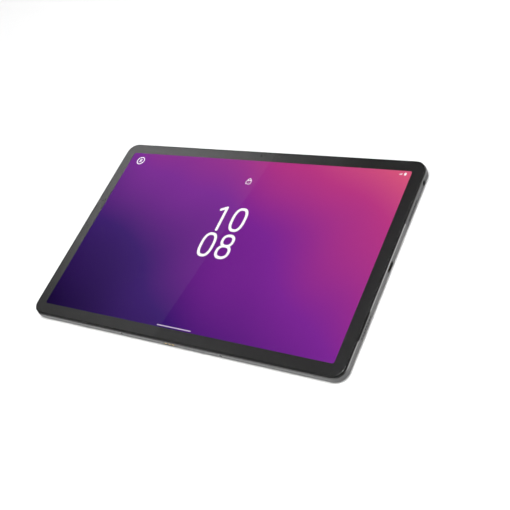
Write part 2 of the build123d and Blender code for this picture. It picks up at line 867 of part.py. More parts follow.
# ---------------------------------------------------------------- speakers
speaker_setback = 0.35  # from the side wall, for the mesh
speaker_width = 15.55
speaker_x = (wall_x - speaker_setback - speaker_width, wall_x - speaker_setback)
speaker_y = (28.0, 61.0)
speaker_z = (inner_z + gap, chassis_z - 3 * gap)
speaker_corner = 2.0
diaphragm = (9.6, 25.0, 3.0)  # width, length and corner of the recess over the diaphragm
diaphragm_shift = 1.6  # away from the side wall
diaphragm_depth = 0.3
duct_length = 3.0
duct_width = grille_count * grille_pitch
duct_height = 2.2


def speaker(side_x, side_y):
    """A closed speaker box with its duct towards the grille."""
    centre_x = side_x * sum(speaker_x) / 2
    with BuildPart() as box:
        with BuildSketch(Plane.XY.offset(speaker_z[0])):
            with Locations((centre_x, side_y * sum(speaker_y) / 2)):
                RectangleRounded(
                    speaker_x[1] - speaker_x[0],
                    speaker_y[1] - speaker_y[0],
                    speaker_corner,
                )
        extrude(amount=speaker_z[1] - speaker_z[0])
        with BuildSketch(Plane.XY.offset(speaker_z[1])):
            with Locations((centre_x - side_x * diaphragm_shift, side_y * sum(speaker_y) / 2)):
                RectangleRounded(*diaphragm)
        extrude(amount=-diaphragm_depth, mode=Mode.SUBTRACT)
        with BuildSketch(Plane.YZ.offset(side_x * speaker_x[1])):
            with Locations((side_y * grille_y, port_z)):
                SlotOverall(duct_width, duct_height)
        extrude(amount=-side_x * duct_length, mode=Mode.SUBTRACT)
    return box


for side_x, x_name in ((-1, "left"), (1, "right")):
    for side_y, y_name in ((-1, "lower"), (1, "upper")):
        keep(speaker(side_x, side_y), f"speaker_{y_name}_{x_name}")

mesh_gap = 0.03
mesh_thickness = 0.25
mesh_margin = 0.8  # past the duct's length and height, all across

with BuildPart() as speaker_meshes:
    for side_x in (-1, 1):
        with BuildSketch(Plane.YZ.offset(side_x * (wall_x - mesh_gap))):
            for side_y in (-grille_y, grille_y):
                with Locations((side_y, port_z)):
                    SlotOverall(duct_width + 2 * mesh_margin, duct_height + mesh_margin)
        extrude(amount=-side_x * mesh_thickness)
keep(speaker_meshes, "speaker_meshes")

# ---------------------------------------------------------------- USB-C port and headset jack
usb_shell_outer = tuple(size - 2 * gap for size in usb_opening)
usb_shell_wall = 0.28
usb_recess = 0.25
usb_back_wall = 0.5
usb_face_x = half_length - usb_recess
usb_back_x = usb_face_x - usb_shell_length

with BuildPart() as usb_port_shell:
    with BuildSketch(Plane.YZ.offset(usb_back_x)):
        with Locations((0, port_z)):
            SlotOverall(*usb_shell_outer)
    extrude(amount=usb_face_x - usb_back_x)
    with BuildSketch(Plane.YZ.offset(usb_back_x + usb_back_wall)):
        with Locations((0, port_z)):
            SlotOverall(*[size - 2 * usb_shell_wall for size in usb_shell_outer])
    extrude(amount=usb_face_x - usb_back_x, mode=Mode.SUBTRACT)
keep(usb_port_shell, "usb_port_shell")

tongue_size = (6.69, 0.7)
tongue_block = 1.5  # moulding behind the tongue
tongue_out = 4.4
strip_pitch = 0.5
strip_count = 12
strip_size = (3.0, 0.26)
strip_thickness = 0.04
strip_x = usb_back_x + 4.6

with BuildPart() as usb_port_tongue:
    with BuildSketch(Plane.YZ.offset(usb_back_x + usb_back_wall)):
        with Locations((0, port_z)):
            SlotOverall(*[size - 2 * usb_shell_wall - 2 * gap for size in usb_shell_outer])
    extrude(amount=tongue_block)
    with BuildSketch(Plane.YZ.offset(usb_back_x + usb_back_wall + tongue_block)):
        with Locations((0, port_z)):
            Rectangle(*tongue_size)
    extrude(amount=tongue_out)
    with BuildSketch(Plane.XY.offset(port_z + tongue_size[1] / 2)):
        with Locations((strip_x, 0)):
            with GridLocations(1, strip_pitch, 1, strip_count):
                Rectangle(*strip_size)
    extrude(amount=strip_thickness)
    with BuildSketch(Plane.XY.offset(port_z - tongue_size[1] / 2)):
        with Locations((strip_x, 0)):
            with GridLocations(1, strip_pitch, 1, strip_count):
                Rectangle(*strip_size)
    extrude(amount=-strip_thickness)
keep(usb_port_tongue, "usb_port_tongue")

jack_play = 0.04
jack_nozzle = jack_mouth - jack_play
jack_height = 4.0
jack_face_recess = 0.1
jack_bore_depth = 14.6

with BuildPart() as audio_jack:
    with BuildSketch(Plane.YZ.offset(wall_x - gap)):
        with Locations((jack_y, port_z)):
            Rectangle(jack_width, jack_height)
    extrude(amount=-jack_length)
    with BuildSketch(Plane.YZ.offset(wall_x - gap)):
        with Locations((jack_y, port_z)):
            Circle(jack_nozzle)
    extrude(amount=side_wall + gap - 2 * jack_face_recess)
    with BuildSketch(Plane.YZ.offset(half_length)):
        with Locations((jack_y, port_z)):
            Circle(jack_bore)
    extrude(amount=-jack_bore_depth, mode=Mode.SUBTRACT)
keep(audio_jack, "audio_jack")

# ---------------------------------------------------------------- power key and volume rocker
flange_play = 0.05
key_flange = 0.5
switch_gap = 0.05
dome_size = (3.4, 1.2)
dome_corner = 0.4
dome_height = 0.3
switch_can = (5.0, 2.6, 0.7)  # length, height and depth
switch_board = (2.0, 3.0, 0.3)  # longer than its key by this, height and depth
key_edge_radius = 0.2
flange_over = (1.8, 0.9)  # the flange behind a key is larger than its opening by this
sensor_border = (1.6, 0.8)  # of metal around the sensor's recess, all across
sensor_recess = 0.2
sensor_thickness = 0.15
sensor_gap = 0.1

with BuildPart() as power_button:
    with BuildSketch(Plane.XZ.offset(-half_width - key_proud)):
        with Locations((power_x, port_z)):
            SlotOverall(*power_key)
    extrude(amount=key_proud + side_wall + flange_play + key_flange)
    fillet(power_button.edges().group_by(Axis.Y)[-1], key_edge_radius)
    with BuildSketch(Plane.XZ.offset(-wall_y + flange_play)):
        with Locations((power_x, port_z)):
            SlotOverall(power_key[0] + flange_over[0], power_key[1] + flange_over[1])
    extrude(amount=key_flange)
    with BuildSketch(Plane.XZ.offset(-half_width - key_proud)):
        with Locations((power_x, port_z)):
            SlotOverall(power_key[0] - sensor_border[0], power_key[1] - sensor_border[1])
    extrude(amount=sensor_recess, mode=Mode.SUBTRACT)
keep(power_button, "power_button")

with BuildPart() as fingerprint_sensor:
    with BuildSketch(Plane.XZ.offset(-half_width - key_proud + sensor_recess)):
        with Locations((power_x, port_z)):
            SlotOverall(
                power_key[0] - sensor_border[0] - sensor_gap,
                power_key[1] - sensor_border[1] - sensor_gap,
            )
    extrude(amount=-sensor_thickness)
keep(fingerprint_sensor, "fingerprint_sensor")

power_inner_y = wall_y - flange_play - key_flange
switch_y = power_inner_y - key_travel - switch_gap

with BuildPart() as power_switch:
    with BuildSketch(Plane.XZ.offset(-switch_y)):
        with Locations((power_x, port_z)):
            RectangleRounded(*dome_size, dome_corner)
    extrude(amount=dome_height)
    with BuildSketch(Plane.XZ.offset(-switch_y + dome_height)):
        with Locations((power_x, port_z)):
            Rectangle(*switch_can[:2])
    extrude(amount=switch_can[2])
    with BuildSketch(Plane.XZ.offset(-switch_y + dome_height + switch_can[2])):
        with Locations((power_x, port_z)):
            Rectangle(power_key[0] + switch_board[0], switch_board[1])
    extrude(amount=switch_board[2])
keep(power_switch, "power_switch")

rocker_gap = 0.32  # lets the rocker turn 1.2 degrees each way
rocker_switch_gap = 0.28

with BuildPart() as volume_rocker:
    with BuildSketch(Plane.XZ.offset(-half_width - key_proud)):
        with Locations((volume_x, port_z)):
            SlotOverall(*volume_key)
    extrude(amount=key_proud + side_wall + rocker_gap + key_flange)
    fillet(volume_rocker.edges().group_by(Axis.Y)[-1], key_edge_radius)
    with BuildSketch(Plane.XZ.offset(-wall_y + rocker_gap)):
        with Locations((volume_x, port_z)):
            SlotOverall(volume_key[0] + flange_over[0], volume_key[1] + flange_over[1])
    extrude(amount=key_flange)
keep(volume_rocker, "volume_rocker")

rocker_inner_y = wall_y - rocker_gap - key_flange
rocker_switch_y = rocker_inner_y - rocker_switch_gap
dome_spacing = 15.0

with BuildPart() as volume_switches:
    with BuildSketch(Plane.XZ.offset(-rocker_switch_y)):
        with Locations((volume_x, port_z)):
            with GridLocations(dome_spacing, 1, 2, 1):
                RectangleRounded(*dome_size, dome_corner)
    extrude(amount=dome_height)
    with BuildSketch(Plane.XZ.offset(-rocker_switch_y + dome_height)):
        with Locations((volume_x, port_z)):
            with GridLocations(dome_spacing, 1, 2, 1):
                Rectangle(*switch_can[:2])
    extrude(amount=switch_can[2])
    with BuildSketch(Plane.XZ.offset(-rocker_switch_y + dome_height + switch_can[2])):
        with Locations((volume_x, port_z)):
            Rectangle(volume_key[0] + switch_board[0], switch_board[1])
    extrude(amount=switch_board[2])
keep(volume_switches, "volume_switches")

# One flat cable behind both switch boards, with a leg down to the main board.
switch_depth = dome_height + switch_can[2] + switch_board[2]
cable_y = rocker_switch_y - switch_depth - gap
cable_margin = 20.0  # past the keys' middles, all across
cable_width = 3.0

with BuildPart() as key_flex:
    with BuildSketch(Plane.XZ.offset(-cable_y)):
        with Locations(((power_x + volume_x) / 2, port_z)):
            Rectangle(volume_x - power_x + cable_margin, cable_width)
    extrude(amount=flex_thickness)
    with BuildSketch(Plane.XY.offset(flex_z)):
        with Locations((key_plug_at[0], (cable_y + key_plug_at[1] - flex_end) / 2)):
            Rectangle(cable_width, cable_y - key_plug_at[1] + flex_end)
    extrude(amount=flex_thickness)
keep(key_flex, "key_flex")

# ---------------------------------------------------------------- card tray and socket
tray_thickness = 1.1
tray_body = (13.0, 24.0)
tray_tuck = 0.3  # how far the tray's blade runs into its door
door_recess = 0.02
door_thickness = 1.15
eject_hole = (0.4, 1.9)  # radius, and distance from the door's end
socket_clear = 0.15
card_pocket = (10.9, 8.8)
pocket_y = (7.0, 18.0)  # from the wall to the middles of the two pockets
tray_z = port_z - tray_thickness / 2
tray_inner = wall_y - gap

with BuildPart() as card_tray:
    with BuildSketch(Plane.XZ.offset(-half_width + door_recess)):
        with Locations((tray_x, port_z)):
            SlotOverall(*tray_door)
    extrude(amount=door_thickness)
    with BuildSketch(Plane.XZ.offset(-half_width)):
        with Locations((tray_x + tray_door[0] / 2 - eject_hole[1], port_z)):
            Circle(eject_hole[0])
    extrude(amount=side_wall, mode=Mode.SUBTRACT)
    with BuildSketch(Plane.XY.offset(tray_z)):
        with Locations((tray_x, tray_inner + tray_tuck - tray_body[1] / 2)):
            Rectangle(*tray_body)
        with Locations(*[(tray_x, tray_inner - y) for y in pocket_y]):
            Rectangle(*card_pocket, mode=Mode.SUBTRACT)
    extrude(amount=tray_thickness)
keep(card_tray, "card_tray")

socket_wall = 0.3
socket_inner = tray_body[0] / 2 + socket_clear
socket_setback = 0.2  # behind the tray's end
socket_back = 0.4
socket_near = tray_inner - tray_body[1] - socket_setback
socket_mouth = socket_far - 1.2
socket_floor = tray_z - socket_clear
socket_roof = tray_z + tray_thickness + socket_clear

with BuildPart() as card_socket:
    with BuildSketch(Plane.XZ.offset(-socket_near)):
        with Locations((tray_x, (socket_roof + socket_wall + chip_z) / 2)):
            Rectangle(2 * (socket_inner + socket_wall), socket_roof + socket_wall - chip_z)
        with Locations((tray_x, (socket_roof + socket_floor) / 2)):
            Rectangle(2 * socket_inner, socket_roof - socket_floor, mode=Mode.SUBTRACT)
    extrude(amount=-(socket_mouth - socket_near))
    with BuildSketch(Plane.XZ.offset(-socket_near)):
        with Locations((tray_x, (socket_roof + socket_wall + chip_z) / 2)):
            Rectangle(2 * (socket_inner + socket_wall), socket_roof + socket_wall - chip_z)
    extrude(amount=socket_back)
keep(card_socket, "card_socket")

# ---------------------------------------------------------------- keyboard contacts and locators
pogo_recess = 0.2
pogo_radius = 0.9
pogo_play = 0.02
pogo_count = 3
block_depth = 3.25  # from its face
block_flange = (3.0, 0.5)  # larger than the opening by this
block_flange_depth = 2.15
contact_recess = 0.1
contact_length = 3.85
contact_edge_radius = 0.25

with BuildPart() as contact_block:
    with BuildSketch(Plane.XZ.offset(half_width - pogo_recess)):
        with Locations((0, port_z)):
            SlotOverall(pogo_opening[0] - 2 * gap, pogo_opening[1] - 2 * gap)
            with GridLocations(pogo_pitch, 1, pogo_count, 1):
                Circle(pogo_radius + pogo_play, mode=Mode.SUBTRACT)
    extrude(amount=-block_depth)
    with BuildSketch(Plane.XZ.offset(wall_y - gap)):
        with Locations((0, port_z)):
            Rectangle(pogo_opening[0] + block_flange[0], pogo_opening[1] + block_flange[1])
            with GridLocations(pogo_pitch, 1, pogo_count, 1):
                Circle(pogo_radius + pogo_play, mode=Mode.SUBTRACT)
    extrude(amount=-block_flange_depth)
keep(contact_block, "contact_block")

with BuildPart() as keyboard_contacts:
    with BuildSketch(Plane.XZ.offset(half_width - contact_recess)):
        with Locations((0, port_z)):
            with GridLocations(pogo_pitch, 1, pogo_count, 1):
                Circle(pogo_radius)
    extrude(amount=-contact_length)
    fillet(keyboard_contacts.edges().group_by(Axis.Y)[0], contact_edge_radius)
keep(keyboard_contacts, "keyboard_contacts")

locator_depth = 2.0
locator_floor = 0.5
locator_play = 0.03

with BuildPart() as locator_cups:
    with BuildSketch(Plane.XZ.offset(half_width - contact_recess)):
        with Locations((-locator_x, port_z), (locator_x, port_z)):
            Circle(locator_seat - locator_play)
    extrude(amount=-(locator_depth + locator_floor))
    with BuildSketch(Plane.XZ.offset(half_width)):
        with Locations((-locator_x, port_z), (locator_x, port_z)):
            Circle(locator_bore)
    extrude(amount=-locator_depth, mode=Mode.SUBTRACT)
keep(locator_cups, "locator_cups")

# ---------------------------------------------------------------- magnets, microphones, antennas
magnet_size = (17.0, 3.0, 2.8)
magnet_corner = 0.4
magnet_setback = 0.2  # from the side wall
far_magnet_length = 12.0
magnet_sites = (24.0, 62.0)  # each side of the middle, on the near side
near_magnets = [side * x for side in (-1, 1) for x in magnet_sites]
far_magnets = [44.0, 60.0]

with BuildPart() as holding_magnets:
    with BuildSketch(Plane.XY.offset(inner_z + 2 * gap)):
        with Locations(*[(x, -wall_y + magnet_setback + magnet_size[1] / 2) for x in near_magnets]):
            RectangleRounded(magnet_size[0], magnet_size[1], magnet_corner)
        with Locations(*[(x, wall_y - magnet_setback - magnet_size[1] / 2) for x in far_magnets]):
            RectangleRounded(far_magnet_length, magnet_size[1], magnet_corner)
    extrude(amount=magnet_size[2])
keep(holding_magnets, "holding_magnets")

microphone_size = (3.4, 2.6)
microphone_port = 0.5  # thickness of the holed front
microphone_body = 1.0

with BuildPart() as microphones:
    with BuildSketch(Plane.XZ.offset(-wall_y + gap)):
        with Locations(*[(x, port_z) for x in mic_sites]):
            Rectangle(*microphone_size)
            Circle(mic_hole, mode=Mode.SUBTRACT)
    extrude(amount=microphone_port)
    with BuildSketch(Plane.XZ.offset(-wall_y + gap + microphone_port)):
        with Locations(*[(x, port_z) for x in mic_sites]):
            Rectangle(*microphone_size)
    extrude(amount=microphone_body)
keep(microphones, "microphones")

antenna_height = 3.2
antenna_step = 1.0  # the two blocks are lower than their ridges by this
wifi_at = (-62.0, 70.0)
wifi_size = (14.0, 9.0)
wifi_ridge_x = -58.5
mobile_at = (110.0, 72.5)
mobile_size = (11.0, 17.0)
mobile_ridge_y = 78.5
ridge_widths = (3.0, 5.0)
block_corner = 1.0
ridge_corner = 0.5

with BuildPart() as antennas:
    with BuildSketch(Plane.XY.offset(inner_z + gap)):
        with Locations(wifi_at):
            RectangleRounded(*wifi_size, block_corner)
        with Locations(mobile_at):
            RectangleRounded(*mobile_size, block_corner)
    extrude(amount=antenna_height - antenna_step)
    with BuildSketch(Plane.XY.offset(inner_z + gap)):
        with Locations((wifi_ridge_x, wifi_at[1])):
            RectangleRounded(ridge_widths[0], wifi_size[1], ridge_corner)
        with Locations((mobile_at[0], mobile_ridge_y)):
            RectangleRounded(mobile_size[0], ridge_widths[1], ridge_corner)
    extrude(amount=antenna_height)
keep(antennas, "antennas")
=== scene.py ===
"""Looks of the tablet computer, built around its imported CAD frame. Metres, in the CAD's own axes."""

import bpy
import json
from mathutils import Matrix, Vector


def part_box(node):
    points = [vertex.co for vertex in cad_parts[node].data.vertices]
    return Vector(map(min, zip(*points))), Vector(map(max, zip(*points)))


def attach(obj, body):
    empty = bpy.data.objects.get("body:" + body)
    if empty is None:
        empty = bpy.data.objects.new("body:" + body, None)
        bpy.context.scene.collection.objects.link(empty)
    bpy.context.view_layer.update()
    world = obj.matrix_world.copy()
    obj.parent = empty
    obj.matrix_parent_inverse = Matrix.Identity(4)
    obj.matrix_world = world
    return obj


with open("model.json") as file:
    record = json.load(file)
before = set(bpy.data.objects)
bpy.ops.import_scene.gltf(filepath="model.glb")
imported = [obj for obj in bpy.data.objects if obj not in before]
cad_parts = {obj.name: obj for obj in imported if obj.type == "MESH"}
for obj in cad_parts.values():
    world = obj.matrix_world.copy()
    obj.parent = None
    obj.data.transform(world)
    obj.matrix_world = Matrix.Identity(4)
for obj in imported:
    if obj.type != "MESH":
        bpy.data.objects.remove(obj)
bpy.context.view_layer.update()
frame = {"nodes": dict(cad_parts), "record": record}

import json
import math

import bmesh
import bpy
from mathutils import Matrix, Vector

MM = 0.001
BODY = "tablet_body"
scene = bpy.context.scene


# ---------------------------------------------------------------- places taken from the frame
def middle(node):
    """The middle of a CAD node's box."""
    low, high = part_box(node)
    return (low + high) / 2


glass_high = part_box("cover_glass")[1]
panel_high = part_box("display_panel")[1]
housing_low, housing_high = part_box("rear_housing")
cover_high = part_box("antenna_cover")[1]
lens_at = middle("lens_ring")
flash_at = middle("flash_ring")

glass_top = glass_high.z
rim_top = housing_high.z
back_z = housing_low.z
half_length = housing_high.x
half_width = cover_high.y
corner_radius = 9.2 * MM
matt_margin = 1.5 * MM  # of the border print, from the body's outline
chamfer = 0.5 * MM
grille_start = 35 * MM  # the span of |y| that holds the speaker holes
grille_end = 57 * MM

screen_light = 1.0
card_light = 0.10


# ---------------------------------------------------------------- camera
camera_at = Vector((357.2, -257.2, 423.2)) * MM + Vector((0, 0, glass_top))
camera_aim = Vector((35.92, -7.60, 0)) * MM + Vector((0, 0, glass_top))
camera_roll = math.radians(-34.86)
focal_length = 59.66
sensor_width = 36.0

lens = bpy.data.cameras.new("camera")
lens.lens = focal_length
lens.sensor_width = sensor_width
lens.clip_start = 0.01
camera = bpy.data.objects.new("camera", lens)
scene.collection.objects.link(camera)
level = (camera_aim - camera_at).to_track_quat("-Z", "Y").to_matrix().to_4x4()
level.translation = camera_at
camera.matrix_world = level
camera.rotation_mode = "XYZ"
bpy.context.view_layer.update()
roll = camera.matrix_world.to_3x3() @ Vector((0, 0, 1))
camera.matrix_world = (
    Matrix.Translation(camera_at)
    @ Matrix.Rotation(camera_roll, 4, roll)
    @ Matrix.Translation(-camera_at)
    @ camera.matrix_world
)
scene.camera = camera


# ---------------------------------------------------------------- colours and node graphs
def srgb(code, alpha=1.0):
    """A linear colour from a screen colour such as 'a0b1c2'."""
    values = [int(code[i : i + 2], 16) / 255 for i in (0, 2, 4)]
    linear = [v / 12.92 if v <= 0.04045 else ((v + 0.055) / 1.055) ** 2.4 for v in values]
    return (*linear, alpha)


def grey(value, warmth=0.0):
    """A near grey linear colour, a little warm or cool."""
    return (value * (1 + warmth), value, value * (1 - warmth), 1.0)


class Surface:
    """A node material and the few operations that the finishes are built from."""

    def __init__(self, name):
        self.material = bpy.data.materials.new(name)
        self.material.use_nodes = True
        self.tree = self.material.node_tree
        self.shader = self.tree.nodes["Principled BSDF"]
        self.place = self.tree.nodes.new("ShaderNodeTexCoord").outputs["Object"]

    def feed(self, socket, value):
        if isinstance(value, bpy.types.NodeSocket):
            self.tree.links.new(value, socket)
        else:
            socket.default_value = value

    def set(self, **values):
        for name, value in values.items():
            self.feed(self.shader.inputs[name.replace("_", " ")], value)
        return self

    def math(self, operation, a, b=0.0, c=0.0, clamp=False):
        node = self.tree.nodes.new("ShaderNodeMath")
        node.operation = operation
        node.use_clamp = clamp
        for socket, value in zip(node.inputs, (a, b, c)):
            self.feed(socket, value)
        return node.outputs[0]

    def axes(self):
        node = self.tree.nodes.new("ShaderNodeSeparateXYZ")
        self.feed(node.inputs[0], self.place)
        return node.outputs

    def normal_axes(self):
        geometry = self.tree.nodes.new("ShaderNodeNewGeometry")
        node = self.tree.nodes.new("ShaderNodeSeparateXYZ")
        self.feed(node.inputs[0], geometry.outputs["Normal"])
        return node.outputs

    def scaled(self, x, y, z):
        node = self.tree.nodes.new("ShaderNodeMapping")
        self.feed(node.inputs["Vector"], self.place)
        node.inputs["Scale"].default_value = (x, y, z)
        return node.outputs[0]

    def noise(self, size, detail=2.0, stretch=(1, 1, 1), roughness=0.5):
        """Noise whose spots are about size metres across."""
        node = self.tree.nodes.new("ShaderNodeTexNoise")
        self.feed(node.inputs["Vector"], self.scaled(*stretch))
        node.inputs["Scale"].default_value = 1 / size
        node.inputs["Detail"].default_value = detail
        node.inputs["Roughness"].default_value = roughness
        return node.outputs["Fac"]

    def cells(self, size, feature="F1"):
        node = self.tree.nodes.new("ShaderNodeTexVoronoi")
        node.feature = feature
        self.feed(node.inputs["Vector"], self.place)
        node.inputs["Scale"].default_value = 1 / size
        return node.outputs["Distance"]

    def spread(self, value, low, high, to_low=0.0, to_high=1.0, smooth=False):
        """Maps value from low..high to to_low..to_high, clamped."""
        node = self.tree.nodes.new("ShaderNodeMapRange")
        node.interpolation_type = "SMOOTHSTEP" if smooth else "LINEAR"
        for socket, v in zip(node.inputs, (value, low, high, to_low, to_high)):
            self.feed(socket, v)
        return node.outputs[0]

    def mix(self, share, a, b, blend="MIX"):
        node = self.tree.nodes.new("ShaderNodeMix")
        node.data_type = "RGBA"
        node.blend_type = blend
        self.feed(node.inputs["Factor"], share)
        self.feed(node.inputs[6], a)
        self.feed(node.inputs[7], b)
        return node.outputs[2]

    def ramp(self, value, stops):
        """A colour ramp. Stops are (position, linear colour)."""
        node = self.tree.nodes.new("ShaderNodeValToRGB")
        elements = node.color_ramp.elements
        while len(elements) < len(stops):
            elements.new(0.5)
        for element, (position, colour) in zip(elements, stops):
            element.position = position
            element.color = colour
        self.feed(node.inputs[0], value)
        return node.outputs[0]

    def bump(self, height, distance, strength=1.0):
        node = self.tree.nodes.new("ShaderNodeBump")
        node.inputs["Strength"].default_value = strength
        node.inputs["Distance"].default_value = distance
        self.feed(node.inputs["Height"], height)
        self.feed(self.shader.inputs["Normal"], node.outputs[0])
        return self

    def radius_from(self, at):
        """Distance in the XY plane from a point."""
        x, y, _ = self.axes()
        dx = self.math("SUBTRACT", x, at[0])
        dy = self.math("SUBTRACT", y, at[1])
        square = self.math("ADD", self.math("MULTIPLY", dx, dx), self.math("MULTIPLY", dy, dy))
        return self.math("SQRT", square)


def varied(surface, colour, amount, size, **stretch):
    """The colour, a little lighter and darker in broad patches."""
    lighter = tuple(min(1.0, v * (1 + amount)) for v in colour[:3]) + (1.0,)
    darker = tuple(v * (1 - amount) for v in colour[:3]) + (1.0,)
    return surface.mix(surface.noise(size, **stretch), darker, lighter)


def moulded(name, colour, rough=0.5, grain=0.25 * MM, depth=0.01 * MM, vary=0.08, **extra):
    """Moulded plastic or rubber with a fine grain."""
    surface = Surface(name)
    surface.set(Base_Color=varied(surface, colour, vary, 8 * MM))
    surface.set(Roughness=surface.spread(surface.noise(grain), 0.3, 0.7, rough - 0.05, rough + 0.05))
    surface.set(**extra)
    return surface.bump(surface.noise(grain), depth, 0.4)


def metal(name, colour, rough=0.3, grain=0.12 * MM, depth=0.004 * MM, stretch=(1, 1, 1), vary=0.05, **extra):
    """Metal with a fine blasted, rolled or brushed grain."""
    surface = Surface(name)
    surface.set(Metallic=1.0)
    surface.set(Base_Color=varied(surface, colour, vary, 12 * MM))
    grains = surface.noise(grain, 3.0, stretch)
    surface.set(Roughness=surface.spread(grains, 0.3, 0.7, rough - 0.05, rough + 0.06))
    surface.set(**extra)
    return surface.bump(grains, depth, 0.35)


# ---------------------------------------------------------------- finishes
def cut_edges(surface):
    """1 on the rim's chamfer and on the rounded edge of the back, which are polished, and 0 elsewhere."""
    z = surface.axes()[2]
    slope = surface.math("ABSOLUTE", surface.normal_axes()[2])
    on_rim = surface.spread(z, rim_top - chamfer * 1.1, rim_top - chamfer * 0.9)
    near_back = surface.spread(z, back_z + 0.42 * MM, back_z + 0.30 * MM)
    rounded = surface.spread(slope, 0.99, 0.96)
    return surface.math("MAXIMUM", on_rim, surface.math("MULTIPLY", near_back, rounded))


def housing_metal():
    """Anodised aluminium: satin faces and polished edges, with painted shade inside the speaker holes."""
    surface = Surface("housing_metal")
    grains = surface.noise(0.12 * MM, 3.0)
    polished = cut_edges(surface)
    x, y, _ = surface.axes()
    off_middle = surface.math("ABSOLUTE", y)
    # Painted shade: near black and not metallic wherever the housing lies more than 0.16 mm in from its ends
    # within the grille's span of y, which takes in the speaker holes.
    painted_shade_in_hole = surface.math(
        "MULTIPLY",
        surface.spread(surface.math("ABSOLUTE", x), half_length - 0.12 * MM, half_length - 0.16 * MM),
        surface.math(
            "MULTIPLY",
            surface.spread(off_middle, grille_start, grille_start + 0.5 * MM),
            surface.spread(off_middle, grille_end, grille_end - 0.5 * MM),
        ),
    )
    satin = varied(surface, grey(0.105, 0.005), 0.035, 30 * MM)
    surface.set(Metallic=surface.math("SUBTRACT", 1.0, painted_shade_in_hole))
    bright = surface.mix(polished, satin, grey(0.72))
    surface.set(Base_Color=surface.mix(painted_shade_in_hole, bright, grey(0.004)))
    satin_rough = surface.spread(grains, 0.3, 0.7, 0.34, 0.42)
    surface.set(Roughness=surface.math("MULTIPLY_ADD", polished, -0.24, satin_rough))
    return surface.bump(grains, 0.004 * MM, 0.3)


def antenna_cover_paint():
    """Dark metallic paint: fine bright flakes in a satin coat, with painted shade darkening the back's face.
    """
    surface = Surface("antenna_cover_paint")
    polished = cut_edges(surface)
    flakes = surface.spread(surface.cells(0.09 * MM), 0.1, 0.5, 1.0, 0.0)
    # Painted shade: faces that point down, the back's face, take a darker paint than the sides, and the
    # flaked colour below carries it.
    painted_shade_on_back = surface.spread(surface.normal_axes()[2], -0.9, -0.98)
    side_paint = varied(surface, grey(0.07, -0.02), 0.05, 25 * MM)
    back_painted_shade = varied(surface, grey(0.03, -0.02), 0.05, 25 * MM)
    paint = surface.mix(painted_shade_on_back, side_paint, back_painted_shade)
    flaked_and_shaded = surface.mix(surface.math("MULTIPLY", flakes, 0.25), paint, grey(0.14))
    surface.set(Metallic=surface.math("MULTIPLY_ADD", polished, 0.25, 0.75))
    surface.set(Base_Color=surface.mix(polished, flaked_and_shaded, grey(0.34)))
    satin_rough = surface.spread(surface.noise(0.2 * MM), 0.3, 0.7, 0.40, 0.48)
    surface.set(Roughness=surface.math("MULTIPLY_ADD", polished, -0.28, satin_rough))
    return surface.bump(surface.noise(0.15 * MM), 0.004 * MM, 0.3)


def camera_plate_grey():
    """Glossy lacquered metal, with a brighter cut edge."""
    surface = Surface("camera_plate_grey")
    slope = surface.spread(surface.math("ABSOLUTE", surface.normal_axes()[2]), 0.97, 0.85)
    surface.set(Metallic=0.85, Coat_Weight=0.6, Coat_Roughness=0.06)
    face = varied(surface, grey(0.24), 0.04, 6 * MM)
    surface.set(Base_Color=surface.mix(slope, face, grey(0.7)))
    return surface.set(Roughness=surface.spread(surface.noise(0.3 * MM), 0.3, 0.7, 0.22, 0.28))


def turned(name, colour, at, pitch=0.12 * MM, rough=0.16):
    """Metal turned on a lathe, with fine rings around a centre."""
    surface = Surface(name)
    rings = surface.math("SINE", surface.math("MULTIPLY", surface.radius_from(at), 2 * math.pi / pitch))
    surface.set(Metallic=1.0, Base_Color=varied(surface, colour, 0.05, 2 * MM))
    surface.set(Roughness=surface.spread(surface.noise(0.2 * MM), 0.3, 0.7, rough - 0.04, rough + 0.05))
    return surface.bump(rings, 0.006 * MM, 0.35)


def clear_glass():
    """Polished glass with the faintest smudges."""
    surface = Surface("cover_glass_clear")
    surface.set(Base_Color=varied(surface, grey(0.985), 0.004, 40 * MM))
    surface.set(Transmission_Weight=1.0, IOR=1.5)
    return surface.set(Roughness=surface.spread(surface.noise(22 * MM, 3.0), 0.45, 0.75, 0.0, 0.035))


def dark_lens_glass():
    """Dark coated lens glass."""
    surface = Surface("lens_glass_dark")
    surface.set(Transmission_Weight=1.0, IOR=1.6)
    surface.set(Base_Color=surface.ramp(
        surface.spread(surface.radius_from(lens_at), 0.0, 4.2 * MM),
        [(0.0, srgb("b9c2dc")), (0.6, srgb("8d93b4")), (0.9, srgb("14141a")), (1.0, srgb("0b0b0d"))],
    ))
    return surface.set(Roughness=surface.spread(surface.noise(1.5 * MM), 0.4, 0.8, 0.0, 0.03))


def flash_plastic():
    """Frosted plastic with fine rings, pale over the lamp in its middle."""
    surface = Surface("flash_diffuser")
    radius = surface.radius_from(flash_at)
    rings = surface.math("SINE", surface.math("MULTIPLY", radius, 2 * math.pi / (0.5 * MM)))
    tone = surface.ramp(surface.spread(radius, 0.0, 4.7 * MM), [
        (0.0, srgb("fbfaf2")), (0.24, srgb("ece9dc")), (0.34, srgb("8f8d84")),
        (0.7, srgb("85847c")), (0.86, srgb("a5a291")), (1.0, srgb("b9b7ad")),
    ])
    surface.set(Base_Color=surface.mix(surface.noise(1.5 * MM), tone, surface.mix(0.92, grey(0.0), tone)))
    surface.set(Coat_Weight=0.6, Coat_Roughness=0.08)
    surface.set(Roughness=surface.spread(surface.noise(0.3 * MM), 0.3, 0.7, 0.25, 0.35))
    return surface.bump(rings, 0.03 * MM, 0.5)


